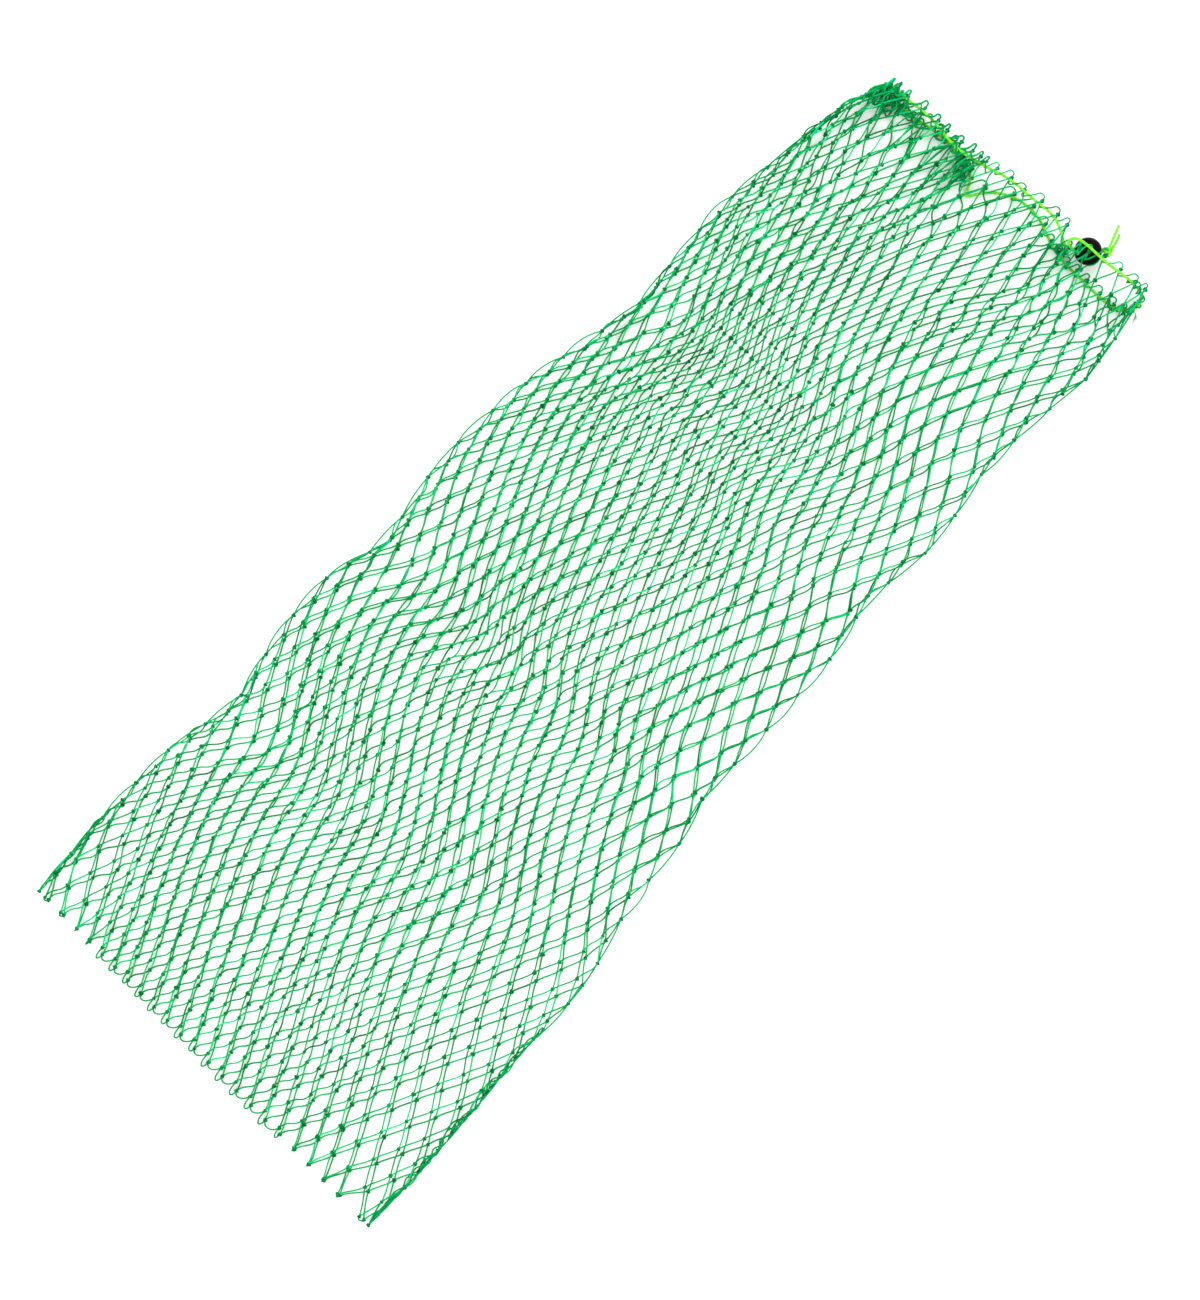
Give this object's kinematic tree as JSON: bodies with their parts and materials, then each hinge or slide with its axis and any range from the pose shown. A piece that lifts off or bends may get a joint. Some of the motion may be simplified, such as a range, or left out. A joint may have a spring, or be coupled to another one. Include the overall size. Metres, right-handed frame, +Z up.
{
  "type": "drawstring net bag",
  "caption": "Green knotted-mesh drawstring net bag lying flat, with a lime drawstring through its mouth meshes and a black round cord stop bead",
  "frame": {"origin": "middle of the object's box in plan, on the surface that it lies on", "axes": "+X across the bag, +Y from the closed end to the mouth, +Z up"},
  "size_m": [0.2068, 0.5319, 0.0138],
  "materials": {
    "netting": "twisted polyethylene twine, slightly shiny",
    "drawstring": "braided polypropylene cord, bright",
    "bead": "glossy moulded black"
  },
  "bodies": {
    "bag": {"net_lower_layer": "netting", "net_upper_layer": "netting", "net_left_fold": "netting", "net_right_fold": "netting", "net_closed_end": "netting", "net_mouth_rim_lower": "netting", "net_mouth_rim_upper": "netting", "drawstring_left_loop": "drawstring", "drawstring_right_loop": "drawstring", "drawstring_doubled_end": "drawstring"},
    "mouth_left_corner": {"net_mouth_left_bunch": "netting"},
    "mouth_right_corner": {"net_mouth_right_bunch": "netting"},
    "bead": {"cord_stop_bead": "bead"},
    "cord_end": {"drawstring_end_knot": "drawstring", "drawstring_tail_long": "drawstring", "drawstring_tail_short": "drawstring"}
  },
  "joints": [
    {"name": "drawstring_pull", "type": "slide", "parent": "bag", "child": "cord_end", "axis": [0.729, 0.6845, 0], "range_m": [0, 0.077], "deforming": ["drawstring_doubled_end"]},
    {"name": "mouth_left_gather", "type": "slide", "parent": "bag", "child": "mouth_left_corner", "axis": [1, 0, 0], "range_m": [0, 0.065], "deforming": ["drawstring_left_loop", "net_mouth_rim_upper", "net_mouth_rim_lower"]},
    {"name": "mouth_right_gather", "type": "slide", "parent": "bag", "child": "mouth_right_corner", "axis": [-1, 0, 0], "range_m": [0, 0.012], "deforming": ["drawstring_right_loop"]},
    {"name": "bead_turn", "type": "hinge", "parent": "bag", "child": "bead", "pos_m": [0.0404, 0.2484, 0.006], "axis": [0.729, 0.6845, 0], "continuous": true}
  ],
  "couplings": [
    {"joint": "mouth_left_gather", "follows": "drawstring_pull", "ratio": 0.844},
    {"joint": "mouth_right_gather", "follows": "drawstring_pull", "ratio": 0.1555}
  ]
}
